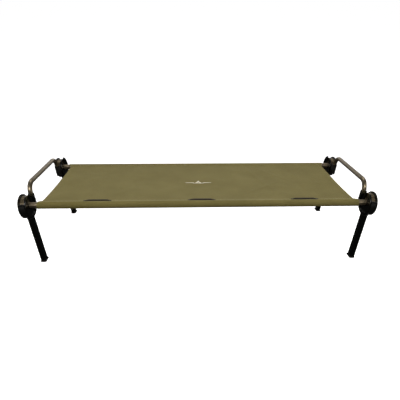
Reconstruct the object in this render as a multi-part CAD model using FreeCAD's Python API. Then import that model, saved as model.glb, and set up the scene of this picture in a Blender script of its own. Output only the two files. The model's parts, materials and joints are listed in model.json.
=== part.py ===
import FreeCAD, Part
import math
import os

from FreeCAD import Vector

# Knock-down camp cot: a cloth deck on two sleeve rails, carried by two end frames.
# Each rail end carries a round drum. The drum drops into a U-shaped pocket between the
# two round plates of an end frame, and the rail itself sits in a slot in the inner plate.
# Lengths are in millimetres and angles in degrees.
# +X runs along the bed to the foot end, +Y to the sleeper's left, +Z up.
# The origin is on the floor, under the middle of the bed.

# Whole cot
half_length = 1000.0          # middle of the cot to the mid-plane of an end frame, at rail height
rail_half_spacing = 335.0     # middle of the cot to a rail's axis
rail_height = 370.0           # floor to the rails' axes
end_tilt = 6.3                # the end frames lean outwards at the top

# Rails and their joint in the middle
rail_radius = 18.0
rail_wall = 1.5
rail_tip = 6.0                # how far a rail runs past the mid-plane of the end frame
ferrule_half_length = 85.0
ferrule_wall = 1.5
snap_from_middle = 45.0       # middle of the cot to a snap button or a ferrule rivet
snap_radius = 4.0
snap_head_radius = 6.5
snap_head_thickness = 2.0
snap_gap = 0.15               # button to its hole
snap_recess = 0.5             # the cloth sleeve holds a button's tip this far below the rail's surface
ferrule_rivet_radius = 2.5

# Drum on each rail end
drum_radius = 58.0
drum_half_thickness = 14.0
drum_rim_wall = 7.0
drum_web_half_thickness = 5.0
drum_boss_radius = 25.0
sliding_gap = 0.5             # between a drum and the end frame
fixed_gap = 0.1               # between pieces that are fixed together, such as a rivet and its hole

# Round plates, and the pocket block between them
plate_radius = 71.0
plate_drop = 2.5              # the plates' centre lies this far below the rail's axis
plate_thickness = 4.0
plate_ring_width = 17.0
plate_ring_height = 4.5
plate_rounding = 2.0
slot_gap = 1.0                # between a rail and the slot, level with the rail's axis
slot_mouth_rounding = 12.0
pocket_half_thickness = 15.0
pocket_wall_top = 34.0        # top of the pocket's side walls, above the rail's axis
ledge_reach = 75.0            # outer edge of the finger ledge, from the rail's axis
ledge_thickness = 6.0
rivet_radius = 2.5
rivet_head_radius = 5.0
rivet_head_height = 2.0
rivet_circle_radius = 64.7
rivet_angles = (-18.0, -50.0, -130.0, -162.0)

# End bar, and the collar that holds each of its arms
bar_radius = 14.0
bar_wall = 1.6
bar_half_spacing = 250.0      # middle of the cot to an arm's axis
bar_rise = 97.0               # rail axis to the bar's axis, along the end frame
bar_bend_radius = 62.0
arm_depth = 28.0              # how far an arm runs below the rail's axis
collar_radius = 18.0
collar_low = -34.0
collar_high = 38.0
collar_web_half_thickness = 10.0
bar_pin_radius = 2.5

# Legs and feet
leg_size_along = 28.0         # across the end frame's thickness
leg_size_across = 50.0
leg_corner = 9.0
leg_wall = 1.8
leg_seat = -80.0              # shoulder that a leg's top end bears on
leg_gap = 0.3                 # leg to its spigot and shoulder
spigot_length = 62.0
shoulder_margin = 1.0
foot_floor = 9.0              # rubber under the lowest corner of a leg
foot_plug_height = 30.0       # how far the rubber foot reaches up into the leg
foot_lip_reach = 4.0          # the lip at the floor stands out this far from the leg
foot_lip_height = 8.0

# Deck
sleeve_radius = 21.0
sleeve_gap = 0.3              # rail to sleeve
sleeve_half_length = 938.0
deck_half_length = 921.0      # at the corners
deck_end_hollow = 3.0         # the end edges curve in by this much
deck_corner_setback = 26.0    # rail axis to the corner where the sleeve's end tongue starts
deck_thickness = 3.0
deck_sag = 5.0                # how far the deck hangs down in the middle

# Webbing loops on the right-hand sleeve
loop_length = 160.0
loop_width = 18.0
loop_thickness = 2.0
loop_spacing = 611.0
loop_shift = 12.0             # the middle loop lies this far from the middle, towards the foot end
loop_setback = 21.0           # rail axis to a loop's middle, towards the middle of the cot

# Derived sizes
tilt = math.radians(end_tilt)
pocket_radius = drum_radius + sliding_gap
slot_radius = rail_radius + slot_gap
slot_drop = (pocket_half_thickness + plate_thickness / 2) * math.tan(tilt)
collar_offset = bar_half_spacing - rail_half_spacing
floor_along_leg = -rail_height / math.cos(tilt)
leg_bottom = floor_along_leg + (foot_floor + leg_size_along / 2 * math.sin(tilt)) / math.cos(tilt)
sleeve_inner_radius = rail_radius + sleeve_gap
deck_top = rail_height + sleeve_radius

along_x = Vector(1, 0, 0)
along_y = Vector(0, 1, 0)
along_z = Vector(0, 0, 1)

parts = {}


# ---------------------------------------------------------------- small helpers

def rod(radius, start, direction, length):
    """A round bar from start, along direction."""
    return Part.makeCylinder(radius, length, start, direction)


def tube(radius, wall, start, direction, length):
    """A round tube from start, along direction."""
    outer = rod(radius, start, direction, length)
    return outer.cut(rod(radius - wall, start, direction, length))


def disc(radius, low, high, centre_w=0.0):
    """A round plate whose axis is the corner frame's u axis, from u = low to u = high."""
    return rod(radius, Vector(low, 0, centre_w), along_x, high - low)


def box(low, high):
    """A block between two opposite corners."""
    size = Vector(*high) - Vector(*low)
    return Part.makeBox(size.x, size.y, size.z, Vector(*low))


def union(shapes):
    """One solid from several that overlap."""
    return shapes[0].multiFuse(shapes[1:]).removeSplitter()


def rounded_wire(size_x, size_y, corner, z):
    """A closed rounded rectangle at height z, centred on the z axis."""
    x = size_x / 2
    y = size_y / 2
    inset = corner * (1 - math.sqrt(0.5))
    edges = []
    for sx, sy in ((1, 1), (-1, 1), (-1, -1), (1, -1)):
        on_side = Vector(sx * x, sy * (y - corner), z)
        on_end = Vector(sx * (x - corner), sy * y, z)
        middle = Vector(sx * (x - inset), sy * (y - inset), z)
        first, last = (on_side, on_end) if sx * sy > 0 else (on_end, on_side)
        if edges:
            edges.append(Part.makeLine(edges[-1].valueAt(edges[-1].LastParameter), first))
        edges.append(Part.Arc(first, middle, last).toShape())
    start = edges[0].valueAt(edges[0].FirstParameter)
    edges.append(Part.makeLine(edges[-1].valueAt(edges[-1].LastParameter), start))
    return Part.Wire(edges)


def rounded_prism(size_x, size_y, corner, low, high):
    """An upright bar with rounded corners, from z = low to z = high."""
    face = Part.Face(rounded_wire(size_x, size_y, corner, low))
    return face.extrude(Vector(0, 0, high - low))


def open_slot(radius, low, high, centre_w=0.0):
    """A U-shaped slot along the u axis: round at the bottom, open at the top."""
    bottom = disc(radius, low, high, centre_w)
    sides = box((low, -radius, 0), (high, radius, 2 * plate_radius))
    return bottom.fuse(sides)


def round_edges(shape, radius, wanted):
    """Round the edges that the test function wants."""
    return shape.makeFillet(radius, [edge for edge in shape.Edges if wanted(edge)])


# ---------------------------------------------------------------- the corner frame
# The pieces of one corner are drawn in the corner's own frame, and placed at foot left.
# u (x) points out along the bed, v (y) out to the side, and w (z) up along the leaning end frame.
# The other three corners are mirror images of that one.

def at_foot_left(shape):
    """Put a shape from the corner frame in its place at the foot end, left side."""
    placed = shape.copy()
    placed.rotate(Vector(0, 0, 0), along_y, end_tilt)
    placed.translate(Vector(half_length, rail_half_spacing, rail_height))
    return placed


def mirrored(shape, end, side):
    """A foot left shape, mirrored to the wanted end and side."""
    if end == "head":
        shape = shape.mirror(Vector(0, 0, 0), along_x)
    if side == "right":
        shape = shape.mirror(Vector(0, 0, 0), along_y)
    return shape


def rivet_places():
    """Points on the rivet circle, in the mid-plane of the corner."""
    for angle in rivet_angles:
        v = rivet_circle_radius * math.cos(math.radians(angle))
        w = rivet_circle_radius * math.sin(math.radians(angle)) - plate_drop
        yield Vector(0, v, w)


def rivet_holes():
    """Holes for the rivets through both plates and the pocket block."""
    reach = 2 * pocket_half_thickness
    return [rod(rivet_radius + fixed_gap, place - along_x * reach, along_x, 2 * reach)
            for place in rivet_places()]


def domed_pin(radius, head_radius, head_height, half_shank, place):
    """A pin along the u axis with a low domed head at each end."""
    pieces = [rod(radius, place - along_x * half_shank, along_x, 2 * half_shank)]
    for way in (-1, 1):
        seat = place + along_x * (way * half_shank)
        head = Part.makeCone(head_radius, head_radius * 0.55, head_height, seat, along_x * way)
        pieces.append(head)
    return union(pieces)


def plate(slotted):
    """A round plate with a raised ring on its outer face. It faces along +u.

    A slotted plate is open at the top for the rail. The rail is level and the plate leans,
    so the slot's round end lies a little below the middle of the drum.
    """
    inside = pocket_half_thickness
    face = inside + plate_thickness
    top = face + plate_ring_height
    body = disc(plate_radius, inside, top, -plate_drop)
    body = body.cut(disc(plate_radius - plate_ring_width, face, top, -plate_drop))

    def at_top(edge):
        return abs(edge.BoundBox.XMin - top) < 0.01 and abs(edge.BoundBox.XMax - top) < 0.01

    body = round_edges(body, plate_rounding, at_top)
    if slotted:
        body = body.cut(open_slot(slot_radius, inside - 1, top + 1, -slot_drop))
        body = body.cut(mouth_rounding(inside - 1, top + 1))
    return body.cut(rivet_holes())


def mouth_rounding(low, high):
    """What is cut away at the top of the slot in a plate, so that its two corners are round."""
    mouth_w = math.sqrt(plate_radius ** 2 - slot_radius ** 2) - plate_drop
    reach = slot_mouth_rounding
    pieces = []
    for side in (-1, 1):
        edge = side * slot_radius
        corner = box((low, min(edge, edge + side * reach), mouth_w - reach),
                     (high, max(edge, edge + side * reach), plate_radius))
        keep = rod(reach, Vector(low - 1, edge + side * reach, mouth_w - reach), along_x, high - low + 2)
        pieces.append(corner.cut(keep))
    return pieces


def inner_plate():
    """The plate on the bed's side, with the slot for the rail."""
    return plate(slotted=True).mirror(Vector(0, 0, 0), along_x)


def pocket_block():
    """The block between the plates: pocket wall, finger ledge, arm collar, and leg spigot."""
    thickness = pocket_half_thickness
    wall = disc(plate_radius, -thickness, thickness, -plate_drop)
    wall = wall.cut(box((-thickness - 1, -plate_radius - 1, pocket_wall_top),
                        (thickness + 1, plate_radius + 1, plate_radius)))
    ledge = box((-thickness, drum_radius, pocket_wall_top - ledge_thickness),
                (thickness, ledge_reach, pocket_wall_top))
    collar = rod(collar_radius, Vector(0, collar_offset, collar_low), along_z, collar_high - collar_low)
    web = box((-collar_web_half_thickness, collar_offset, collar_low),
              (collar_web_half_thickness, -drum_radius, pocket_wall_top))
    shoulder = rounded_prism(2 * thickness, leg_size_across + 2 * shoulder_margin, leg_corner,
                             leg_seat, -drum_radius)
    inset = 2 * (leg_wall + leg_gap)
    spigot = rounded_prism(leg_size_along - inset, leg_size_across - inset, leg_corner - inset / 2,
                           leg_seat - spigot_length, leg_seat)
    block = union([wall, ledge, collar, web, shoulder, spigot])
    pocket = open_slot(pocket_radius, -thickness - 1, thickness + 1)
    arm_bore = rod(bar_radius + fixed_gap, Vector(0, collar_offset, -arm_depth), along_z,
                   collar_high + arm_depth + 1)
    pin_bore = rod(bar_pin_radius + fixed_gap, Vector(-collar_radius - 1, collar_offset, 0), along_x,
                   2 * collar_radius + 2)
    return block.cut([pocket, arm_bore, pin_bore] + rivet_holes())


def drum():
    """The drum of a rail end: a rimmed wheel with a boss for the rail."""
    rim = disc(drum_radius, -drum_half_thickness, drum_half_thickness)
    rim = rim.cut(disc(drum_radius - drum_rim_wall, -drum_half_thickness, drum_half_thickness))

    def on_rim_edge(edge):
        return abs(edge.BoundBox.ZMax - drum_radius) < 0.01 and edge.BoundBox.XLength < 0.01

    rim = round_edges(rim, 1.5, on_rim_edge)
    web = disc(drum_radius - drum_rim_wall / 2, -drum_web_half_thickness, drum_web_half_thickness)
    boss = disc(drum_boss_radius, -drum_half_thickness, drum_half_thickness)
    return union([rim, web, boss])


def rivets():
    """The four rivets of a corner."""
    seat = pocket_half_thickness + plate_thickness + plate_ring_height
    pins = [domed_pin(rivet_radius, rivet_head_radius, rivet_head_height, seat, place)
            for place in rivet_places()]
    return Part.makeCompound(pins)


def leg():
    """A hollow leg that slides up over the spigot."""
    top = leg_seat - leg_gap
    outer = rounded_prism(leg_size_along, leg_size_across, leg_corner, leg_bottom, top)
    inner = rounded_prism(leg_size_along - 2 * leg_wall, leg_size_across - 2 * leg_wall,
                          leg_corner - leg_wall, leg_bottom, top)
    return outer.cut(inner)


def foot():
    """A rubber foot plugged into a leg. Its base flares out into a lip, and is cut level with the floor."""
    lip_top = floor_along_leg + foot_lip_height
    lip_bottom = floor_along_leg - foot_lip_height
    spread = 4 * foot_lip_reach
    inset = 2 * (leg_wall + fixed_gap)
    plug = rounded_prism(leg_size_along - inset, leg_size_across - inset, leg_corner - inset / 2,
                         lip_top, leg_bottom + foot_plug_height)
    base = rounded_prism(leg_size_along, leg_size_across, leg_corner, lip_top, leg_bottom - fixed_gap)
    narrow = rounded_wire(leg_size_along, leg_size_across, leg_corner, lip_top)
    wide = rounded_wire(leg_size_along + spread, leg_size_across + spread, leg_corner, lip_bottom)
    lip = Part.makeLoft([wide, narrow], True, True)
    below_floor = box((half_length - 200, 0, -50), (half_length + 200, 2 * rail_half_spacing, 0))
    return at_foot_left(union([plug, base, lip])).cut(below_floor)


def make_corners():
    """All the pieces of the four corners."""
    bore_start = Vector(half_length - 60, rail_half_spacing, rail_height)
    rail_bore = rod(rail_radius + fixed_gap, bore_start, along_x, 60 + rail_tip)
    shapes = {
        "inner_plate": at_foot_left(inner_plate()),
        "outer_plate": at_foot_left(plate(slotted=False)),
        "pocket_block": at_foot_left(pocket_block()),
        "plate_rivets": at_foot_left(rivets()),
        "leg": at_foot_left(leg()),
        "foot_plug": foot(),
        "rail_drum": at_foot_left(drum()).cut(rail_bore),
    }
    for end in ("head", "foot"):
        for side in ("left", "right"):
            for name, shape in shapes.items():
                parts[f"{end}_{side}_{name}"] = mirrored(shape, end, side)


# ---------------------------------------------------------------- end bars

def bar_path():
    """The centre line of the end bar, drawn in the corner frame of the foot left corner."""
    far = -2 * rail_half_spacing - collar_offset
    near = collar_offset
    bend = bar_bend_radius
    inset = bend * (1 - math.sqrt(0.5))
    bottom = -arm_depth
    straight_top = bar_rise - bend
    return Part.Wire([
        Part.makeLine(Vector(0, near, bottom), Vector(0, near, straight_top)),
        Part.Arc(Vector(0, near, straight_top), Vector(0, near - inset, bar_rise - inset),
                 Vector(0, near - bend, bar_rise)).toShape(),
        Part.makeLine(Vector(0, near - bend, bar_rise), Vector(0, far + bend, bar_rise)),
        Part.Arc(Vector(0, far + bend, bar_rise), Vector(0, far + inset, bar_rise - inset),
                 Vector(0, far, straight_top)).toShape(),
        Part.makeLine(Vector(0, far, straight_top), Vector(0, far, bottom)),
    ])


def swept(radius):
    """A round bar along the end bar's centre line."""
    start = Vector(0, collar_offset, -arm_depth)
    circle = Part.Wire([Part.makeCircle(radius, start, along_z)])
    return bar_path().makePipeShell([circle], True, False)


def make_end_bars():
    """The two end bars, and the pins that hold them in their collars."""
    far = -2 * rail_half_spacing - collar_offset
    arm_places = [Vector(0, collar_offset, 0), Vector(0, far, 0)]
    holes = [rod(bar_pin_radius + fixed_gap, place - along_x * 30, along_x, 60) for place in arm_places]
    bar = swept(bar_radius).cut(swept(bar_radius - bar_wall)).cut(holes)
    pins = [domed_pin(bar_pin_radius, 4.5, 1.6, collar_radius + 0.2, place) for place in arm_places]
    for end in ("head", "foot"):
        parts[f"{end}_end_bar"] = mirrored(at_foot_left(bar), end, "left")
        parts[f"{end}_bar_pins"] = mirrored(at_foot_left(Part.makeCompound(pins)), end, "left")


# ---------------------------------------------------------------- rails

def make_rails():
    """Rail halves, the ferrule inside each joint, its rivet, and its snap button with a spring."""
    ferrule_radius = rail_radius - rail_wall - fixed_gap
    ferrule_inner = ferrule_radius - ferrule_wall
    middle = Vector(0, rail_half_spacing, rail_height)
    half = tube(rail_radius, rail_wall, middle, along_x, half_length + rail_tip)
    snap_axis = middle + along_x * snap_from_middle
    rivet_axis = middle - along_x * snap_from_middle
    snap_hole = rod(snap_radius + snap_gap, snap_axis, -along_z, rail_radius + 1)
    rivet_hole = rod(ferrule_rivet_radius + fixed_gap, rivet_axis, -along_z, rail_radius + 1)
    ferrule = tube(ferrule_radius, ferrule_wall, middle - along_x * ferrule_half_length, along_x,
                   2 * ferrule_half_length)
    head_low = ferrule_inner - snap_head_thickness - 1.6
    button = union([
        rod(snap_radius, snap_axis - along_z * head_low, -along_z, rail_radius - snap_recess - head_low),
        rod(snap_head_radius, snap_axis - along_z * head_low, -along_z, snap_head_thickness),
    ])
    spring_top = math.sqrt(ferrule_inner ** 2 - snap_radius ** 2) - 0.3
    spring = tube(snap_radius, 0.8, snap_axis - along_z * head_low, along_z, head_low + spring_top)
    pin = rod(ferrule_rivet_radius, rivet_axis, -along_z, rail_radius + 1)
    pin_zone = tube(rail_radius - snap_recess, rail_wall + ferrule_wall + 1, rivet_axis - along_x * 10,
                    along_x, 20)
    pin = pin.common(pin_zone)
    shapes = {
        "rail_foot_half": half.cut(snap_hole),
        "rail_head_half": half.mirror(Vector(0, 0, 0), along_x).cut(rivet_hole),
        "rail_ferrule": ferrule.cut([snap_hole, rivet_hole]),
        "snap_button": button,
        "snap_spring": spring,
        "ferrule_rivet": pin,
    }
    for side in ("left", "right"):
        for name, shape in shapes.items():
            parts[f"{side}_{name}"] = mirrored(shape, "foot", side)


# ---------------------------------------------------------------- deck

def sag_arc(top):
    """A shallow arc from rail to rail, hanging down in the middle."""
    left = Vector(0, rail_half_spacing, top)
    lowest = Vector(0, 0, top - deck_sag)
    right = Vector(0, -rail_half_spacing, top)
    return Part.Arc(left, lowest, right).toShape()


def deck_section():
    """The deck's cross-section between the rails."""
    upper = sag_arc(deck_top)
    lower = sag_arc(deck_top - deck_thickness)
    ends = [Part.makeLine(Vector(0, y, deck_top), Vector(0, y, deck_top - deck_thickness))
            for y in (rail_half_spacing, -rail_half_spacing)]
    return Part.Face(Part.Wire(Part.__sortEdges__([upper, lower] + ends)))


def deck_outline():
    """The deck's plan: hollow end edges, and tongues that follow the sleeves to their ends."""
    corner_y = rail_half_spacing - deck_corner_setback
    tongue_y = rail_half_spacing - sleeve_radius + 2
    edges = []
    corners = []
    for end in (1, -1):
        ys = (corner_y, -corner_y) if end > 0 else (-corner_y, corner_y)
        ways = (1, -1) if end > 0 else (-1, 1)
        start = Vector(end * deck_half_length, ys[0], 0)
        hollow = Vector(end * (deck_half_length - deck_end_hollow), 0, 0)
        finish = Vector(end * deck_half_length, ys[1], 0)
        corners += [Vector(end * sleeve_half_length, ways[0] * rail_half_spacing, 0),
                    Vector(end * sleeve_half_length, ways[0] * tongue_y, 0), start]
        edges += [Part.makeLine(corners[-3], corners[-2]), Part.makeLine(corners[-2], start)]
        edges.append(Part.Arc(start, hollow, finish).toShape())
        tip = Vector(end * sleeve_half_length, ways[1] * tongue_y, 0)
        outer = Vector(end * sleeve_half_length, ways[1] * rail_half_spacing, 0)
        edges += [Part.makeLine(finish, tip), Part.makeLine(tip, outer)]
    for y in (1, -1):
        edges.append(Part.makeLine(Vector(sleeve_half_length, y * rail_half_spacing, 0),
                                   Vector(-sleeve_half_length, y * rail_half_spacing, 0)))
    return Part.Face(Part.Wire(Part.__sortEdges__(edges)))


def make_deck():
    """The deck with its two sleeves, as one closed body."""
    section = deck_section()
    section.translate(-along_x * sleeve_half_length)
    panel = section.extrude(along_x * (2 * sleeve_half_length))
    panel = panel.common(deck_outline().extrude(along_z * (2 * rail_height)))
    sleeves = []
    bores = []
    for y in (rail_half_spacing, -rail_half_spacing):
        start = Vector(-sleeve_half_length, y, rail_height)
        sleeves.append(rod(sleeve_radius, start, along_x, 2 * sleeve_half_length))
        bores.append(rod(sleeve_inner_radius, start - along_x, along_x, 2 * sleeve_half_length + 2))
    parts["deck"] = union([panel] + sleeves).cut(bores)


def make_webbing_loops():
    """Three flat webbing loops, sewn along the inner edge of the right-hand sleeve."""
    y = -(rail_half_spacing - loop_setback)
    outer_edge = (abs(y) + loop_width / 2) / rail_half_spacing
    low_z = deck_top - deck_sag * (1 - outer_edge ** 2) + sleeve_gap
    loops = []
    for place in (-1, 0, 1):
        x = loop_shift + place * loop_spacing
        loops.append(box((x - loop_length / 2, y - loop_width / 2, low_z),
                         (x + loop_length / 2, y + loop_width / 2, low_z + loop_thickness)))
    parts["webbing_loops"] = Part.makeCompound(loops)


def main():
    make_corners()
    make_end_bars()
    make_rails()
    make_deck()
    make_webbing_loops()
    os.makedirs("parts", exist_ok=True)
    for name, shape in parts.items():
        shape.exportStep(f"parts/{name}.step")


main()
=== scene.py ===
import json
import math

import bmesh
import bpy
import numpy as np
from mathutils import Matrix, Vector, noise


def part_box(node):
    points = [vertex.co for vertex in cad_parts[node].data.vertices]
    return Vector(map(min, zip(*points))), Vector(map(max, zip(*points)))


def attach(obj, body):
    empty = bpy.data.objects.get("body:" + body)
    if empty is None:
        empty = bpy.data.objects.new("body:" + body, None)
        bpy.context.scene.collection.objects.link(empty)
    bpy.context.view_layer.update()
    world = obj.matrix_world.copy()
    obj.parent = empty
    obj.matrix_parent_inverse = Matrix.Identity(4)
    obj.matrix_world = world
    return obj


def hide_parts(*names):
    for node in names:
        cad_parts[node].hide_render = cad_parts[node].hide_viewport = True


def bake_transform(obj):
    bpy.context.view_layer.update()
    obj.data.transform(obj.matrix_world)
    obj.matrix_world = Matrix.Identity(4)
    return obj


# Looks for the camp cot. Everything is in metres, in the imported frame's own axes:
# +X to the foot end, +Y to the sleeper's left, +Z up, floor at z = 0.

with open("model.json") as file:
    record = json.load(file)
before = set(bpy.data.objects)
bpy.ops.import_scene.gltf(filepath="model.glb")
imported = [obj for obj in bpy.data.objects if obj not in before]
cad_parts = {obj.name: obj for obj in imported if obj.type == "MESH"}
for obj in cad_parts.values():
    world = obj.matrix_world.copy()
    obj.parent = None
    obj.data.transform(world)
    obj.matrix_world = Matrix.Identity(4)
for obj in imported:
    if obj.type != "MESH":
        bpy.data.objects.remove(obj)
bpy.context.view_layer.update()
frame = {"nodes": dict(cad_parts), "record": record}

ENDS = {"head": -1, "foot": 1}
SIDES = {"left": 1, "right": -1}

# ---------------------------------------------------------------- sizes, from the frame
rail_low, rail_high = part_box("left_rail_foot_half")
RAIL_Y = (rail_low.y + rail_high.y) / 2
RAIL_Z = (rail_low.z + rail_high.z) / 2
deck_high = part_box("deck")[1]
SLEEVE_RADIUS = deck_high.y - RAIL_Y
SLEEVE_END = deck_high.x
loop_low, loop_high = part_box("webbing_loops")

# ---------------------------------------------------------------- sizes of the cloth
CLOTH = 0.0009                 # thickness
CLOTH_RADIUS = SLEEVE_RADIUS - CLOTH / 2
DECK_SAG = 0.005
SLEEVE_RISE = 0.0055           # how far the sleeves stand above the deck beside them
RISE_WIDTH = 0.045             # the deck climbs to a sleeve over this width
SEAM_INBOARD = 0.024           # rail axis to the sleeve's seam
SEAM_ROWS = (-0.0032, 0.0032)  # the two rows of stitches, from the seam's middle
HEM_ALLOWANCE = 0.020          # cloth past the seam, under the deck
LAYER_GAP = 0.0013             # between the middles of two layers
DECK_END = SLEEVE_END - 0.017  # the end edge, at its corners
END_HOLLOW = 0.003
END_HEM = 0.018
PRINT_Y = -0.013               # the print's middle
TONGUE_INBOARD = 0.026         # rail axis to the corner where the sleeve's tongue starts
TONGUE_CURVE = 0.010           # the end edge turns out to the tongue over this width
LOOP_LENGTH = 0.160
LOOP_THICKNESS = 0.0019
TACK_AT = 0.92                 # the bar tacks' place, as a share of half a loop
THREAD_PITCH = 0.0007          # one thread of the cloth's weave to the next

# The cloth's relief: slack waves, then heights and reaches at the seams and hems
SLACK_WAVES = (
    # waves per metre in x and y, shift, height
    (2.2, 5.0, 0.3, 0.0022),
    (9.0, 15.0, 4.0, 0.0007),
)
SEAM_PUCKER, SEAM_PUCKER_REACH = 0.0011, 0.022
HEM_PUCKER, HEM_PUCKER_REACH = 0.0009, 0.020
WELT, WELT_WIDTH = 0.0009, 0.0022
ROW_DENT, ROW_WIDTH = 0.00045, 0.0016
HEM_DENT, HEM_DENT_WIDTH = 0.0004, 0.0022


def smoothstep(low, high, value):
    t = np.clip((value - low) / (high - low), 0.0, 1.0)
    return t * t * (3 - 2 * t)


# ---------------------------------------------------------------- materials

def srgb(red, green, blue):
    """A colour from 0-255 screen values, as the linear values that a shader takes."""
    def linear(c):
        c /= 255
        return c / 12.92 if c <= 0.04045 else ((c + 0.055) / 1.055) ** 2.4
    return linear(red), linear(green), linear(blue), 1.0


class Nodes:
    """A small helper that adds and joins the nodes of one material."""

    def __init__(self, name):
        self.material = bpy.data.materials.new(name)
        self.material.use_nodes = True
        self.tree = self.material.node_tree
        self.tree.nodes.clear()
        self.shader = self.add("ShaderNodeBsdfPrincipled")
        output = self.add("ShaderNodeOutputMaterial")
        self.join(self.shader.outputs["BSDF"], output.inputs["Surface"])

    def add(self, kind, **settings):
        node = self.tree.nodes.new(kind)
        for key, value in settings.items():
            if hasattr(node, key):
                setattr(node, key, value)
            else:
                node.inputs[key.replace("_", " ")].default_value = value
        return node

    def join(self, output, target):
        self.tree.links.new(output, target)

    def set(self, **values):
        for key, value in values.items():
            self.shader.inputs[key.replace("_", " ")].default_value = value

    def place(self, scale=(1, 1, 1), uv=None):
        """Object coordinates, or a named UV map's, times scale."""
        mapping = self.add("ShaderNodeMapping")
        mapping.inputs["Scale"].default_value = scale
        if uv:
            source = self.add("ShaderNodeUVMap", uv_map=uv).outputs["UV"]
        else:
            source = self.add("ShaderNodeTexCoord").outputs["Object"]
        self.join(source, mapping.inputs["Vector"])
        return mapping.outputs["Vector"]

    def noise(self, vector, scale, detail=3.0, roughness=0.5):
        node = self.add("ShaderNodeTexNoise", Scale=scale, Detail=detail, Roughness=roughness)
        self.join(vector, node.inputs["Vector"])
        return node.outputs["Fac"]

    def ramp(self, value, *stops):
        """Maps a value to colours; each stop is (position, colour)."""
        node = self.add("ShaderNodeValToRGB")
        elements = node.color_ramp.elements
        while len(elements) < len(stops):
            elements.new(0.5)
        for element, (position, colour) in zip(elements, stops):
            element.position = position
            element.color = colour if hasattr(colour, "__len__") else (colour,) * 3 + (1,)
        self.join(value, node.inputs["Fac"])
        return node.outputs["Color"]

    def math(self, operation, first, second=0):
        node = self.add("ShaderNodeMath", operation=operation)
        for slot, value in enumerate((first, second)):
            if isinstance(value, (int, float)):
                node.inputs[slot].default_value = value
            else:
                self.join(value, node.inputs[slot])
        return node.outputs["Value"]

    def mix(self, factor, first, second, blend="MIX"):
        node = self.add("ShaderNodeMix", data_type="RGBA", blend_type=blend)
        for name, value in (("Factor", factor), ("A", first), ("B", second)):
            sockets = [s for s in node.inputs if s.name == name and s.enabled]
            if isinstance(value, (int, float, tuple)):
                sockets[0].default_value = value
            else:
                self.join(value, sockets[0])
        return [s for s in node.outputs if s.enabled][0]

    def bump(self, height, strength, distance, under=None):
        node = self.add("ShaderNodeBump", Strength=strength, Distance=distance)
        self.join(height, node.inputs["Height"])
        if under:
            self.join(under, node.inputs["Normal"])
        return node.outputs["Normal"]


def weave(nodes, vector, pitch):
    """Height of a plain weave of that thread pitch, over a flat layout in metres."""
    split = nodes.add("ShaderNodeSeparateXYZ")
    nodes.join(vector, split.inputs["Vector"])
    turns = math.pi / pitch
    across = nodes.math("SINE", nodes.math("MULTIPLY", split.outputs["X"], turns))
    along = nodes.math("SINE", nodes.math("MULTIPLY", split.outputs["Y"], turns))
    over = nodes.math("MULTIPLY", across, along)
    ridge_x = nodes.math("ABSOLUTE", across)
    ridge_y = nodes.math("ABSOLUTE", along)
    chooser = nodes.math("GREATER_THAN", over, 0.0)
    warp = nodes.math("MULTIPLY", ridge_x, chooser)
    weft = nodes.math("MULTIPLY", ridge_y, nodes.math("SUBTRACT", 1.0, chooser))
    return nodes.math("ADD", warp, weft)


def cloth_material():
    """Olive woven polyester: a fine plain weave, uneven yarns, and soft blotches from handling."""
    n = Nodes("olive_cloth")
    flat = n.place(uv="layout")
    woven = weave(n, flat, THREAD_PITCH)
    slubs = n.noise(n.place((30, 900, 1), uv="layout"), 1.0, 2.0)
    slubs_across = n.noise(n.place((900, 30, 1), uv="layout"), 1.0, 2.0)
    blotch = n.noise(n.place(uv="layout"), 5.0, 4.0, 0.6)
    fine = n.noise(n.place(uv="layout"), 160.0, 3.0, 0.6)
    base = n.ramp(blotch, (0.3, srgb(109, 101, 54)), (0.7, srgb(120, 111, 63)))
    yarn = n.ramp(n.math("MULTIPLY", n.math("ADD", slubs, slubs_across), 0.5), (0.35, 0.86), (0.65, 1.0))
    base = n.mix(1.0, base, yarn, "MULTIPLY")
    shade = n.ramp(woven, (0.0, 0.72), (0.75, 1.0))
    base = n.mix(1.0, base, shade, "MULTIPLY")
    base = n.mix(0.35, base, n.ramp(fine, (0.3, 0.8), (0.7, 1.0)), "MULTIPLY")
    n.join(base, n.shader.inputs["Base Color"])
    n.join(n.ramp(fine, (0.2, 0.72), (0.8, 0.86)), n.shader.inputs["Roughness"])
    n.set(Sheen_Weight=0.25, Sheen_Roughness=0.4, Specular_IOR_Level=0.25)
    n.shader.inputs["Sheen Tint"].default_value = srgb(190, 180, 130)
    soft = n.bump(blotch, 0.12, 0.01)
    n.join(n.bump(woven, 0.45, 0.0002, soft), n.shader.inputs["Normal"])
    return n.material


def webbing_material():
    """Dark brown ribbed webbing."""
    n = Nodes("brown_webbing")
    flat = n.place(uv="layout")
    split = n.add("ShaderNodeSeparateXYZ")
    n.join(flat, split.inputs["Vector"])

    def ridges(axis, pitch):
        """Height of ridges across an axis of the layout, that far apart."""
        wave = n.math("SINE", n.math("MULTIPLY", split.outputs[axis], math.pi / pitch))
        return n.math("ABSOLUTE", wave)

    ribs = ridges("Y", 0.0011)
    picks = ridges("X", 0.0009)
    height = n.math("ADD", ribs, n.math("MULTIPLY", picks, 0.4))
    fuzz = n.noise(n.place(uv="layout"), 300.0, 3.0)
    # Painted shade: the grooves between the ribs and picks are darker than their tops.
    base = n.ramp(height, (0.2, srgb(10, 7, 6)), (1.0, srgb(27, 21, 18)))
    base = n.mix(0.4, base, n.ramp(fuzz, (0.3, 0.7), (0.7, 1.0)), "MULTIPLY")
    n.join(base, n.shader.inputs["Base Color"])
    n.set(Roughness=0.85, Specular_IOR_Level=0.15, Sheen_Weight=0.05)
    n.join(n.bump(height, 0.6, 0.0003), n.shader.inputs["Normal"])
    return n.material


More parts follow.
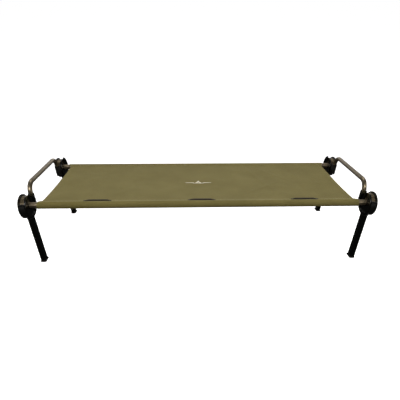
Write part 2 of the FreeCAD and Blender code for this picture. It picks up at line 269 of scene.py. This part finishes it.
def thread_material(name, dark, light):
    """Twisted sewing thread."""
    n = Nodes(name)
    twist = n.noise(n.place((2600, 900, 2600)), 1.0, 1.0)
    n.join(n.ramp(twist, (0.3, dark), (0.7, light)), n.shader.inputs["Base Color"])
    n.join(n.bump(twist, 0.3, 0.0001), n.shader.inputs["Normal"])
    n.set(Roughness=0.6, Sheen_Weight=0.2)
    return n.material


def coat_material(name, dark, light, worn, roughness, grain, metallic=0.0):
    """A baked coat: a fine orange-peel grain, faint dust, and small rubbed marks."""
    n = Nodes(name)
    where = n.place()
    peel = n.noise(where, grain, 2.0)
    cloud = n.noise(where, 9.0, 5.0, 0.6)
    rub = n.noise(where, 70.0, 6.0, 0.72)
    streak = n.noise(n.place((40, 40, 400)), 1.0, 4.0, 0.6)
    base = n.ramp(cloud, (0.3, dark), (0.75, light))
    rubbed = n.ramp(rub, (0.62, 0.0), (0.74, 1.0))
    marks = n.math("MULTIPLY", rubbed, n.ramp(streak, (0.5, 0.0), (0.7, 1.0)))
    base = n.mix(n.math("MULTIPLY", marks, 0.5), base, worn)
    n.join(base, n.shader.inputs["Base Color"])
    n.join(n.ramp(rub, (0.25, roughness - 0.06), (0.75, roughness + 0.08)), n.shader.inputs["Roughness"])
    n.join(n.bump(peel, 0.25, 0.0004, n.bump(marks, 0.2, 0.0002)), n.shader.inputs["Normal"])
    n.set(Specular_IOR_Level=0.5, Metallic=metallic)
    return n.material


def moulding_material():
    """Black glass-filled nylon with a spark-eroded grain."""
    n = Nodes("black_nylon")
    where = n.place()
    grain = n.noise(where, 1400.0, 2.0)
    flow = n.noise(where, 22.0, 3.0)
    n.join(n.ramp(flow, (0.3, srgb(7, 7, 6)), (0.7, srgb(12, 12, 10))), n.shader.inputs["Base Color"])
    n.join(n.ramp(flow, (0.3, 0.38), (0.7, 0.5)), n.shader.inputs["Roughness"])
    n.join(n.bump(grain, 0.3, 0.0003), n.shader.inputs["Normal"])
    n.set(Specular_IOR_Level=0.4)
    return n.material


def rubber_material():
    """Black rubber with a dusty bloom low down."""
    n = Nodes("foot_rubber")
    where = n.place()
    dust = n.noise(where, 90.0, 5.0, 0.7)
    height = n.add("ShaderNodeSeparateXYZ")
    n.join(where, height.inputs["Vector"])
    low = n.ramp(height.outputs["Z"], (0.0, 1.0), (0.03, 0.0))
    amount = n.math("MULTIPLY", n.math("MULTIPLY", dust, low), 0.35)
    n.join(n.mix(amount, srgb(9, 9, 8), srgb(46, 43, 36)), n.shader.inputs["Base Color"])
    n.join(n.bump(dust, 0.2, 0.0004), n.shader.inputs["Normal"])
    n.set(Roughness=0.78, Specular_IOR_Level=0.15)
    return n.material


def steel_material():
    """Zinc-plated steel with fine drawing lines along X."""
    n = Nodes("plated_steel")
    lines = n.noise(n.place((8, 900, 900)), 1.0, 3.0)
    base = n.ramp(lines, (0.3, srgb(150, 150, 148)), (0.7, srgb(186, 186, 184)))
    n.join(base, n.shader.inputs["Base Color"])
    n.join(n.ramp(lines, (0.3, 0.28), (0.7, 0.4)), n.shader.inputs["Roughness"])
    n.set(Metallic=1.0)
    return n.material


def print_material():
    """White screen-print ink that lets a little of the weave show, with painted shade on the weave's low
    threads and a little wear.
    """
    n = Nodes("white_print")
    woven = weave(n, n.place(uv="layout"), THREAD_PITCH)
    wear = n.noise(n.place(uv="layout"), 240.0, 4.0, 0.7)
    # Painted shade and wear: the ink is darker where the weave lies low, and where the wear noise is low.
    base = n.ramp(n.math("MULTIPLY", n.math("ADD", woven, wear), 0.6), (0.2, srgb(150, 146, 120)),
                  (0.6, srgb(232, 226, 208)))
    n.join(base, n.shader.inputs["Base Color"])
    n.join(n.bump(woven, 0.3, 0.0002), n.shader.inputs["Normal"])
    n.set(Roughness=0.7)
    return n.material


cloth = cloth_material()
webbing = webbing_material()
thread = thread_material("olive_thread", srgb(124, 116, 74), srgb(168, 160, 112))
dark_thread = thread_material("dark_thread", srgb(22, 18, 16), srgb(52, 44, 38))
print_ink = print_material()
tube_coat = coat_material("tube_coat", srgb(103, 94, 77), srgb(119, 108, 89), srgb(150, 138, 113),
                          roughness=0.30, grain=900.0, metallic=0.8)
black_coat = coat_material("black_coat", srgb(5, 5, 4), srgb(9, 9, 7), srgb(36, 34, 29),
                           roughness=0.18, grain=1100.0)
drum_coat = coat_material("drum_moulding", srgb(98, 88, 69), srgb(112, 101, 80), srgb(150, 136, 110),
                          roughness=0.26, grain=700.0, metallic=0.65)
nylon = moulding_material()
rubber = rubber_material()
steel = steel_material()

FINISHES = {
    "tube_coat": tube_coat,
    "drum_moulding": drum_coat,
    "black_steel": black_coat,
    "black_moulding": nylon,
    "foot_rubber": rubber,
    "plain_steel": steel,
    "deck_cloth": cloth,
    "webbing": webbing,
}


def finish_cad_nodes():
    """Gives every CAD node its finish, by the record's material slot."""
    slots = {part["node"]: part["material_slot"] for part in frame["record"]["subparts"]}
    for name, node in frame["nodes"].items():
        for slot in node.material_slots:
            slot.material = FINISHES[slots[name]]


# ---------------------------------------------------------------- mesh helpers

def new_piece(name, verts, faces, material, body):
    """A smooth mesh piece that rides on a body, when one is given."""
    mesh = bpy.data.meshes.new(name)
    mesh.from_pydata([tuple(v) for v in verts], [], faces)
    mesh.update()
    mesh.materials.append(material)
    for polygon in mesh.polygons:
        polygon.use_smooth = True
    piece = bpy.data.objects.new(name, mesh)
    bpy.context.scene.collection.objects.link(piece)
    if body:
        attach(piece, body)
    return piece


def give_layout(piece, coordinates):
    """Stores a flat layout, in metres, as the piece's UV map."""
    layer = piece.data.uv_layers.new(name="layout")
    loops = np.zeros(len(piece.data.loops), dtype=np.int32)
    piece.data.loops.foreach_get("vertex_index", loops)
    layer.data.foreach_set("uv", np.asarray(coordinates, dtype=np.float32)[loops].ravel())


# ---------------------------------------------------------------- deck cloth

def panel_angle():
    """The deck's slope at the rail: its sag, and its climb to the sleeve."""
    return math.atan(2 * DECK_SAG / RAIL_Y + 2 * SLEEVE_RISE / RISE_WIDTH)


def panel_edge():
    """Where the deck leaves the sleeve's round, as (distance from the middle, height)."""
    slope = panel_angle()
    return RAIL_Y - CLOTH_RADIUS * math.sin(slope), RAIL_Z + CLOTH_RADIUS * math.cos(slope)


def panel_height(y):
    """Height of the middle of the deck's cloth, and past its edge, of the sleeve's."""
    edge_y, edge_z = panel_edge()
    from_edge = np.clip((edge_y - np.abs(y)) / RISE_WIDTH, 0, 1)
    climb = SLEEVE_RISE * (1 - (1 - from_edge) ** 2)
    panel = edge_z - DECK_SAG * (1 - (y / edge_y) ** 2) - climb
    sleeve = RAIL_Z + np.sqrt(np.clip(CLOTH_RADIUS ** 2 - (np.abs(y) - RAIL_Y) ** 2, 0, None))
    return np.where(np.abs(y) > edge_y, sleeve, panel)


def evenly(points, step):
    """Points along a line of points, at about that step."""
    points = np.array(points, dtype=float)
    lengths = np.concatenate([[0], np.cumsum(np.linalg.norm(np.diff(points, axis=0), axis=1))])
    count = max(2, int(round(lengths[-1] / step)) + 1)
    wanted = np.linspace(0, lengths[-1], count)
    return np.stack([np.interp(wanted, lengths, points[:, k]) for k in range(2)], axis=1)


def half_profile():
    """The cloth's section on the left side: hem, seam, round the rail, and half of the deck."""
    centre = np.array([RAIL_Y, RAIL_Z])
    seam_y = RAIL_Y - SEAM_INBOARD
    hem = [(y, panel_height(y) - LAYER_GAP) for y in np.linspace(seam_y - HEM_ALLOWANCE, seam_y, 12)]
    # The cloth leaves the seam along a tangent to the sleeve's round, on its under side.
    to_seam = np.array(hem[-1]) - centre
    reach = math.acos(CLOTH_RADIUS / np.linalg.norm(to_seam))
    low_angle = math.atan2(to_seam[1], to_seam[0]) + reach - 2 * math.pi
    high_angle = math.pi / 2 + panel_angle()
    angles = np.linspace(low_angle, high_angle, 60)
    round_rail = [centre + CLOTH_RADIUS * np.array([math.cos(a), math.sin(a)]) for a in angles]
    past_seam = seam_y - 0.012     # finer steps from here to the rail, where the cloth curves most
    near_seam = [(y, panel_height(y)) for y in np.linspace(panel_edge()[0], past_seam, 40)]
    across = [(y, panel_height(y)) for y in np.linspace(past_seam, 0.0, 200)]
    pieces = [evenly(hem, 0.004), evenly([hem[-1], round_rail[0]], 0.0035), evenly(round_rail, 0.0026),
              evenly(near_seam, 0.0022), evenly(across, 0.0058)]
    joined = [pieces[0]] + [piece[1:] for piece in pieces[1:]]
    return np.concatenate(joined)


def deck_end_at(y):
    """Half length of the cloth at each distance from the middle."""
    y = np.abs(y)
    corner = RAIL_Y - TONGUE_INBOARD
    hollow = DECK_END - END_HOLLOW * (1 - (np.clip(y, 0, corner) / corner) ** 2)
    return hollow + (SLEEVE_END - DECK_END) * smoothstep(corner, corner + TONGUE_CURVE, y)


def crease(x, y, start, finish, width, height):
    """A soft fold line on the deck, from one (x, y) point to another."""
    way = np.array(finish) - np.array(start)
    length = np.linalg.norm(way)
    way = way / length
    along = (x - start[0]) * way[0] + (y - start[1]) * way[1]
    beside = (y - start[1]) * way[0] - (x - start[0]) * way[1]
    fade = smoothstep(-0.04, 0.05, along) * (1 - smoothstep(length - 0.05, length + 0.04, along))
    return height * fade * np.exp(-(beside / width) ** 2)


CREASES = (
    # start, finish, width, height
    ((0.34, 0.26), (0.47, -0.16), 0.012, 0.0012),
    ((0.30, -0.20), (0.52, -0.02), 0.010, 0.0010),
    ((0.40, 0.27), (0.60, 0.02), 0.010, 0.0009),
    ((-0.45, 0.25), (-0.36, -0.24), 0.013, 0.0010),
    ((-0.20, 0.24), (-0.06, -0.10), 0.012, 0.0008),
    ((0.02, 0.29), (0.01, -0.29), 0.016, -0.0011),
    ((-0.62, 0.29), (-0.63, -0.29), 0.016, -0.0009),
    ((0.64, 0.29), (0.66, -0.29), 0.016, -0.0009),
)


def ripples(x, y, x_scale, y_scale, shift):
    """Smooth noise over the deck, about -0.5 to 0.5."""
    points = np.stack([x * x_scale, y * y_scale, np.full_like(x, shift)], axis=-1).reshape(-1, 3)
    values = [noise.noise(Vector(point)) for point in points]
    return np.array(values).reshape(x.shape)


def relief(x, y):
    """How far the deck stands above its smooth arc: slack, folds, and puckers at seams and hems."""
    edge_y = panel_edge()[0]
    middle = 1 - smoothstep(0.55, 1.0, np.abs(y) / edge_y)
    slack = sum(height * ripples(x, y, *waves) for *waves, height in SLACK_WAVES)
    folds = sum(crease(x, y, *fold) for fold in CREASES)
    from_seam = (RAIL_Y - SEAM_INBOARD) - np.abs(y)
    pucker_fade = np.exp(-np.clip(from_seam, 0, None) / SEAM_PUCKER_REACH)
    pucker_fade = pucker_fade * smoothstep(-0.004, 0.004, from_seam)
    puckers = SEAM_PUCKER * ripples(x, np.sign(y), 55.0, 7.0, 8.0) * pucker_fade
    from_hem = deck_end_at(y) - END_HEM - np.abs(x)
    hem_fade = np.exp(-np.clip(from_hem, 0, None) / HEM_PUCKER_REACH)
    hem_fade = hem_fade * (np.abs(y) < RAIL_Y - TONGUE_INBOARD)
    hem_puckers = HEM_PUCKER * ripples(np.sign(x), y, 5.0, 60.0, 2.0) * hem_fade
    hem_dent = HEM_DENT * np.exp(-((from_hem + 0.002) / HEM_DENT_WIDTH) ** 2) * (np.abs(y) < edge_y)
    rows = sum(np.exp(-((from_seam - row) / ROW_WIDTH) ** 2) for row in SEAM_ROWS)
    row_dents = ROW_DENT * rows * (0.75 + 0.5 * ripples(x, np.sign(y), 160.0, 3.0, 1.0))
    welt = WELT * np.exp(-(from_seam / WELT_WIDTH) ** 2)
    return (slack + folds) * middle + puckers + hem_puckers + welt - hem_dent - row_dents


def deck_top_at(x, y, lift=0.0):
    """Height of the cloth's upper face, plus lift."""
    return panel_height(y) + relief(x, y) + CLOTH / 2 + lift


def make_deck_cloth():
    """The deck and its sleeves, one cut of cloth; its ends are folded into hems afterwards, by fold_ends.
    """
    half = half_profile()
    profile = np.concatenate([half, (half * [-1, 1])[::-1][1:]])
    steps = np.linalg.norm(np.diff(profile, axis=0), axis=1)
    along = np.concatenate([[0], np.cumsum(steps)])
    along -= along[-1] / 2
    rows = 236
    spread = np.linspace(-1, 1, rows)
    spread = np.sign(spread) * (1 - (1 - np.abs(spread)) ** 1.06)
    ends = deck_end_at(profile[:, 0])
    x = spread[:, None] * ends[None, :]
    y = np.repeat(profile[None, :, 0], rows, axis=0)
    z = np.repeat(profile[None, :, 1], rows, axis=0)
    layout = np.stack([x, np.repeat(along[None, :], rows, axis=0)], axis=2)

    on_panel = (np.abs(y) < panel_edge()[0]) & (z > panel_height(y) - LAYER_GAP / 2)
    z = z + np.where(on_panel, relief(x, y), 0.0)
    return along, x, y, z, layout


def grid_normals(x, y, z):
    """Outward normals of a grid of points."""
    points = np.stack([x, y, z], axis=2)
    d_row = np.gradient(points, axis=0)
    d_col = np.gradient(points, axis=1)
    normal = np.cross(d_col, d_row)
    return normal / np.maximum(np.linalg.norm(normal, axis=2, keepdims=True), 1e-12)


def fold_ends(x, y, z, layout):
    """Adds the hem at both ends: the cloth turns under itself and runs back."""
    points = np.stack([x, y, z], axis=2)
    normal = grid_normals(x, y, z)
    if normal[x.shape[0] // 2, x.shape[1] // 2, 2] < 0:     # the deck's middle has to face up
        normal = -normal
    turn = LAYER_GAP / 2
    rows = []
    flats = []
    for edge, inner in ((0, 1), (-1, -2)):
        out = points[edge] - points[inner]
        out /= np.maximum(np.linalg.norm(out, axis=1, keepdims=True), 1e-12)
        new = []
        flat = []
        sign = math.copysign(1, points[edge][0, 0])
        for angle in (45, 90, 135, 180):
            a = math.radians(angle)
            new.append(points[edge] + out * turn * math.sin(a) - normal[edge] * turn * (1 - math.cos(a)))
            flat.append(layout[edge] + [sign * turn * a, 0])
        for back in np.linspace(0, END_HEM, 5)[1:]:
            new.append(points[edge] - out * back - normal[edge] * LAYER_GAP)
            flat.append(layout[edge] + [sign * (turn * math.pi + back), 0])
        rows.append(np.array(new))
        flats.append(np.array(flat))
    points = np.concatenate([rows[0][::-1], points, rows[1]])
    layout = np.concatenate([flats[0][::-1], layout, flats[1]])
    return points, layout


def grid_faces(rows, columns):
    """Four-sided faces over a grid of points, row after row."""
    return [(r * columns + c, r * columns + c + 1, (r + 1) * columns + c + 1, (r + 1) * columns + c)
            for r in range(rows - 1) for c in range(columns - 1)]


def build_deck():
    """The deck's piece, and the width and length of its cloth laid flat."""
    along, x, y, z, layout = make_deck_cloth()
    points, layout = fold_ends(x, y, z, layout)
    rows, columns = points.shape[:2]
    faces = grid_faces(rows, columns)
    piece = new_piece("deck_cloth", points.reshape(-1, 3), faces, cloth, "bed")
    give_layout(piece, layout.reshape(-1, 2))
    thick = piece.modifiers.new("thickness", "SOLIDIFY")
    thick.thickness = CLOTH
    thick.offset = 0
    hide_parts("deck")
    flat_width = float(along[-1] - along[0])
    flat_length = 2 * (float(deck_end_at(np.array([0.0]))[0]) + END_HEM)
    return piece, flat_width, flat_length


deck, flat_width, flat_length = build_deck()
finish_cad_nodes()


# ---------------------------------------------------------------- stitches and print

def rod_faces(first, rings, sides):
    """Faces of a closed rod whose rings of points start at index first."""
    faces = []
    for ring in range(rings - 1):
        for side in range(sides):
            a = first + ring * sides + side
            b = first + ring * sides + (side + 1) % sides
            faces.append((a, b, b + sides, a + sides))
    faces.append(tuple(first + side for side in reversed(range(sides))))
    faces.append(tuple(first + (rings - 1) * sides + side for side in range(sides)))
    return faces


def stitch_row(name, starts, step_way, count, pitch, side_way):
    """Rows of raised lock stitches on the deck; starts are (x, y), and the ways are unit (x, y)."""
    radius = 0.00042
    length = pitch * 0.86
    sides = 6
    along = np.linspace(-1, 1, 5)
    step_way = np.array(step_way)
    side_way = np.array(side_way)
    spots = []
    for start in starts:
        for index in range(count):
            middle = np.array(start) + step_way * (pitch * (index + 0.5))
            spots += [middle + step_way * (t * length / 2) for t in along]
    spots = np.array(spots)
    heights = deck_top_at(spots[:, 0], spots[:, 1])
    verts = []
    for number, (spot, height) in enumerate(zip(spots, heights)):
        t = along[number % len(along)]
        girth = radius * math.sqrt(max(0.06, 1 - t ** 4))
        middle_z = height - 0.0001 + 0.00025 * (1 - t * t)
        for side in range(sides):
            angle = 2 * math.pi * side / sides
            across = side_way * (girth * math.cos(angle))
            verts.append((spot[0] + across[0], spot[1] + across[1], middle_z + girth * math.sin(angle)))
    faces = []
    for first in range(0, len(verts), len(along) * sides):
        faces += rod_faces(first, len(along), sides)
    return new_piece(name, verts, faces, thread, "bed")


def make_stitches():
    """Two rows along each sleeve's seam, and one along each end hem."""
    pitch = 0.0045
    long_count = int(2 * (SLEEVE_END - 0.006) / pitch)
    short_count = int(2 * (RAIL_Y - TONGUE_INBOARD - 0.004) / pitch)
    for side, sy in SIDES.items():
        starts = [(-long_count * pitch / 2, sy * (RAIL_Y - SEAM_INBOARD - row)) for row in SEAM_ROWS]
        stitch_row(f"{side}_seam_stitches", starts, (1, 0), long_count, pitch, (0, 1))
    for end, sx in ENDS.items():
        start = (sx * (DECK_END - END_HEM + 0.001), -short_count * pitch / 2)
        stitch_row(f"{end}_hem_stitches", [start], (0, 1), short_count, pitch, (1, 0))


def print_outline():
    """The flat shapes of a plain tent on a ground line: each is a list of (x, y), in metres."""
    tent = [(-0.022, -0.013), (0.0, 0.018), (0.022, -0.013), (0.009, -0.013), (0.0, 0.001),
            (-0.009, -0.013)]
    poles = [(-0.0016, 0.0175), (0.0016, 0.0175), (0.0036, 0.0240), (0.0010, 0.0240), (0.0, 0.0220),
             (-0.0010, 0.0240), (-0.0036, 0.0240)]
    tent_base = [(-0.034, -0.0205), (0.034, -0.0205), (0.034, -0.0165), (-0.034, -0.0165)]
    grounds = []
    for sign in (-1, 1):
        grounds.append([(sign * 0.030, -0.0130), (sign * 0.084, -0.0105), (sign * 0.084, -0.0065),
                        (sign * 0.030, -0.0050)])
    return [tent, poles, tent_base] + grounds


def make_print():
    """A generic white camping pictogram, printed on the middle of the deck."""
    verts = []
    faces = []
    step = 0.005     # the print is cut up this finely, so that it can follow the cloth
    for shape in print_outline():
        mesh = bmesh.new()
        mesh.faces.new([mesh.verts.new((x, y, 0)) for x, y in shape])
        bmesh.ops.triangulate(mesh, faces=mesh.faces[:])
        low = [min(v[k] for v in shape) for k in (0, 1)]
        high = [max(v[k] for v in shape) for k in (0, 1)]
        for k in (0, 1):
            cuts = int((high[k] - low[k]) / step)
            for i in range(1, cuts):
                place = [0.0, 0.0, 0.0]
                place[k] = low[k] + (high[k] - low[k]) * i / cuts
                way = [0.0, 0.0, 0.0]
                way[k] = 1.0
                bmesh.ops.bisect_plane(mesh, geom=mesh.verts[:] + mesh.edges[:] + mesh.faces[:],
                                       plane_co=place, plane_no=way)
        mesh.verts.index_update()
        first = len(verts)
        verts += [(v.co.x, v.co.y, 0.0) for v in mesh.verts]
        faces += [tuple(first + v.index for v in f.verts) for f in mesh.faces]
        mesh.free()
    flat = np.array(verts)[:, :2]
    heights = deck_top_at(flat[:, 0], flat[:, 1] + PRINT_Y, 0.00012)
    placed = [(x, y + PRINT_Y, z) for (x, y), z in zip(flat, heights)]
    piece = new_piece("deck_print", placed, faces, print_ink, "bed")
    give_layout(piece, flat)
    for polygon in piece.data.polygons:
        if polygon.normal.z < 0:
            polygon.flip()


make_stitches()
make_print()

# ---------------------------------------------------------------- webbing loops

def make_loops():
    """Three flat loops of webbing over the seam, each sewn down at its ends with a bar tack."""
    width = loop_high.y - loop_low.y
    middle_y = (loop_low.y + loop_high.y) / 2
    middle_x = (loop_low.x + loop_high.x) / 2
    spacing = (loop_high.x - loop_low.x - LOOP_LENGTH) / 2
    steps = 80
    columns = 7
    free = 0.86      # a loop stands free of the cloth over this share of its length
    for index in range(3):
        x_mid = middle_x + (index - 1) * spacing
        t = np.linspace(-1, 1, steps + 1)[:, None] * np.ones((1, columns))
        v = np.linspace(-0.5, 0.5, columns)[None, :] * np.ones((steps + 1, 1))
        x = x_mid + t * LOOP_LENGTH / 2
        y = middle_y + v * width * (1 - 0.06 * smoothstep(0.9, 1.0, np.abs(t)))
        slack = 0.0014 * smoothstep(0.0, 0.3, free - np.abs(t))
        tacked = -0.0005 * np.exp(-((np.abs(t) - TACK_AT) / 0.03) ** 2)
        z = deck_top_at(x, y, LOOP_THICKNESS / 2 + 0.0003)
        below_outer_edge = np.clip(z[:, :1] - z, 0, None)
        bridge = 0.8 * smoothstep(0.0, 0.2, free - np.abs(t)) * below_outer_edge
        z = z + bridge + slack + tacked - 0.0004 * (2 * v) ** 4
        points = np.stack([x, y, z], axis=-1).reshape(-1, 3)
        piece = new_piece(f"webbing_loop_{index + 1}", points, grid_faces(steps + 1, columns), webbing,
                          "bed")
        give_layout(piece, np.stack([x - x_mid, v * width], axis=-1).reshape(-1, 2))
        thick = piece.modifiers.new("thickness", "SOLIDIFY")
        thick.thickness = LOOP_THICKNESS
        thick.offset = 0
        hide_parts("webbing_loops")
        make_bar_tacks(index, x_mid, middle_y, width, z)


def make_bar_tacks(index, x_mid, middle_y, width, heights):
    """Close zigzag stitching across both ends of a loop, whose rows of heights are given."""
    verts = []
    faces = []
    radius = 0.0005
    half_zigzag = 0.0024
    sides = 5
    turns = 22
    across = np.linspace(-0.5, 0.5, heights.shape[1])
    for sign in (-1, 1):
        row = int(round((1 + sign * TACK_AT) / 2 * (heights.shape[0] - 1)))
        faces += rod_faces(len(verts), turns + 1, sides)
        for k in range(turns + 1):
            x = x_mid + sign * TACK_AT * LOOP_LENGTH / 2 + (half_zigzag if k % 2 else -half_zigzag)
            share = (k / turns - 0.5) * 0.84
            y = middle_y + share * width
            top = float(np.interp(share, across, heights[row])) + LOOP_THICKNESS / 2 + 0.0002
            for side in range(sides):
                angle = 2 * math.pi * side / sides
                verts.append((x, y + radius * math.cos(angle), top + radius * math.sin(angle)))
    new_piece(f"bar_tacks_{index + 1}", verts, faces, dark_thread, "bed")


make_loops()

# ---------------------------------------------------------------- springs in the rails

def make_snap_springs():
    """A coil spring above each snap button, built at one fixed length, though the real one shortens as
    its button goes in.
    """
    wire = 0.0004       # radius
    seat_gap = 0.0001
    turns = 9
    steps = 24
    sides = 8
    for side in SIDES:
        spring_low, spring_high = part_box(f"{side}_snap_spring")
        middle = (spring_low + spring_high) / 2
        coil_radius = (spring_high.x - spring_low.x) / 2 - wire
        bottom = spring_low.z + wire + seat_gap
        top = spring_high.z - wire - seat_gap
        shares = np.linspace(0, 1, turns * steps + 1)
        closed = 2.1 * wire
        heights = np.interp(shares, (0, 1 / turns, 1 - 1 / turns, 1),
                            (bottom, bottom + closed, top - closed, top))
        verts = []
        for share, height in zip(shares, heights):
            turn = 2 * math.pi * turns * share
            for index in range(sides):
                angle = 2 * math.pi * index / sides
                reach = coil_radius + wire * math.cos(angle)
                verts.append((middle.x + reach * math.cos(turn), middle.y + reach * math.sin(turn),
                              height + wire * math.sin(angle)))
        faces = rod_faces(0, len(shares), sides)
        piece = new_piece(f"{side}_coil_spring", verts, faces, steel, None)
        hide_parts(f"{side}_snap_spring")
        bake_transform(piece)


make_snap_springs()

# ---------------------------------------------------------------- floor, light, camera

def make_stage():
    """A pale studio bowl: a flat floor whose rim curves up into a wall, faintly lit from within.

    It catches soft shadows, and doesn't throw light back on the cot.
    """
    n = Nodes("pale_floor")
    mottling = n.noise(n.place(), 3.0, 4.0)
    n.join(n.ramp(mottling, (0.3, 0.80), (0.7, 0.83)), n.shader.inputs["Base Color"])
    n.set(Roughness=0.9, Specular_IOR_Level=0.1, Emission_Strength=0.95)
    n.shader.inputs["Emission Color"].default_value = (1, 1, 1, 1)
    floor_radius = 14.0
    rim_radius = 10.0
    wall_top = 26.0
    around = 72
    section = [(floor_radius * k / 7, 0.0) for k in range(1, 8)]
    section += [(floor_radius + rim_radius * math.sin(a), rim_radius * (1 - math.cos(a)))
                for a in np.linspace(0, math.pi * 0.5, 12)[1:]]
    section.append((floor_radius + rim_radius, wall_top))
    verts = [(0, 0, 0)]
    for radius, height in section:
        for k in range(around):
            angle = 2 * math.pi * k / around
            verts.append((radius * math.cos(angle), radius * math.sin(angle), height))
    faces = [(0, 1 + k, 1 + (k + 1) % around) for k in range(around)]
    for ring in range(len(section) - 1):
        for k in range(around):
            a = 1 + ring * around + k
            b = 1 + ring * around + (k + 1) % around
            faces.append((a, a + around, b + around, b))
    mesh = bpy.data.meshes.new("floor")
    mesh.from_pydata(verts, [], faces)
    mesh.materials.append(n.material)
    for polygon in mesh.polygons:
        polygon.use_smooth = True
    floor = bpy.data.objects.new("floor", mesh)
    bpy.context.scene.collection.objects.link(floor)
    floor.visible_diffuse = False
    floor.visible_glossy = False
    floor.visible_shadow = False


def area_light(name, place, target, size, power, spread, colour):
    """A rectangular lamp of that many watts; its spread is in degrees."""
    data = bpy.data.lights.new(name, "AREA")
    data.shape = "RECTANGLE"
    data.size, data.size_y = size
    data.energy = power
    data.color = colour
    data.spread = math.radians(spread)
    light = bpy.data.objects.new(name, data)
    bpy.context.scene.collection.objects.link(light)
    light.location = place
    light.rotation_mode = "QUATERNION"
    light.rotation_quaternion = (Vector(target) - Vector(place)).to_track_quat("-Z", "Y")


def make_world():
    """A dim room, a little brighter above, with a white backdrop low down behind the cot (+Y)."""
    world = bpy.data.worlds.new("studio")
    world.use_nodes = True
    tree = world.node_tree
    split = tree.nodes.new("ShaderNodeSeparateXYZ")
    tree.links.new(tree.nodes.new("ShaderNodeTexCoord").outputs["Generated"], split.inputs["Vector"])

    def combine(operation, first, second):
        node = tree.nodes.new("ShaderNodeMath")
        node.operation = operation
        for socket, value in zip(node.inputs, (first, second)):
            if isinstance(value, float):
                socket.default_value = value
            else:
                tree.links.new(value, socket)
        return node.outputs["Value"]

    def band(axis, *stops):
        """A value along one axis of the view direction, from -1 to 1."""
        node = tree.nodes.new("ShaderNodeValToRGB")
        elements = node.color_ramp.elements
        while len(elements) < len(stops):
            elements.new(0.5)
        for element, (direction, value) in zip(elements, stops):
            element.position = (direction + 1) / 2
            element.color = (value, value, value, 1)
        halved = combine("MULTIPLY", split.outputs[axis], 0.5)
        tree.links.new(combine("ADD", halved, 0.5), node.inputs["Fac"])
        return node.outputs["Color"]

    ceiling = band("Z", (-0.2, 0.02), (0.1, 0.03), (0.8, 0.08))
    behind = band("Y", (0.55, 0.0), (0.85, 1.0))
    low = band("Z", (0.0, 0.0), (0.04, 0.8), (0.32, 0.8), (0.5, 0.0))
    backdrop = combine("MULTIPLY", behind, low)
    background = tree.nodes["Background"]
    tree.links.new(combine("ADD", ceiling, backdrop), background.inputs["Color"])
    background.inputs["Strength"].default_value = 1.0
    bpy.context.scene.world = world


def make_lights():
    """Wide softboxes above, towards the back, and over the camera; weak ones at the ends and behind."""
    warm = (1.0, 0.97, 0.93)
    middle = (0.0, 0.0, 0.35)
    area_light("overhead", (0.0, 1.1, 2.9), (0.0, -0.1, 0.4), (5.6, 1.6), 17, 70, warm)
    area_light("front", (0.0, -3.0, 2.5), middle, (5.2, 0.6), 42, 90, warm)
    area_light("head_side", (-3.6, 0.0, 0.9), middle, (1.2, 1.6), 3, 60, warm)
    area_light("foot_side", (3.6, 0.0, 0.9), middle, (1.2, 1.6), 3, 60, warm)
    area_light("behind", (0.0, 3.6, 1.6), middle, (4.0, 0.8), 4, 80, warm)
    make_world()
    bpy.context.scene.view_settings.view_transform = "Standard"


def make_camera():
    """The camera: yaw, pitch and roll in radians, and the lens on a 36 mm sensor."""
    yaw, pitch, roll = 0.0335, 0.4241, 0.0054
    forward = Vector((math.sin(yaw) * math.cos(pitch), math.cos(yaw) * math.cos(pitch), -math.sin(pitch)))
    right = Vector((math.cos(yaw), -math.sin(yaw), 0))
    up = right.cross(forward)
    turned_right = math.cos(roll) * right + math.sin(roll) * up
    turned_up = -math.sin(roll) * right + math.cos(roll) * up
    data = bpy.data.cameras.new("camera")
    data.sensor_width = 36
    data.lens = 34.03
    camera = bpy.data.objects.new("camera", data)
    bpy.context.scene.collection.objects.link(camera)
    axes = Matrix((turned_right, turned_up, -forward)).transposed()
    camera.matrix_world = Matrix.Translation((-0.0665, -2.3467, 1.3036)) @ axes.to_4x4()
    bpy.context.scene.camera = camera


make_stage()
make_lights()
make_camera()

bpy.context.view_layer.update()
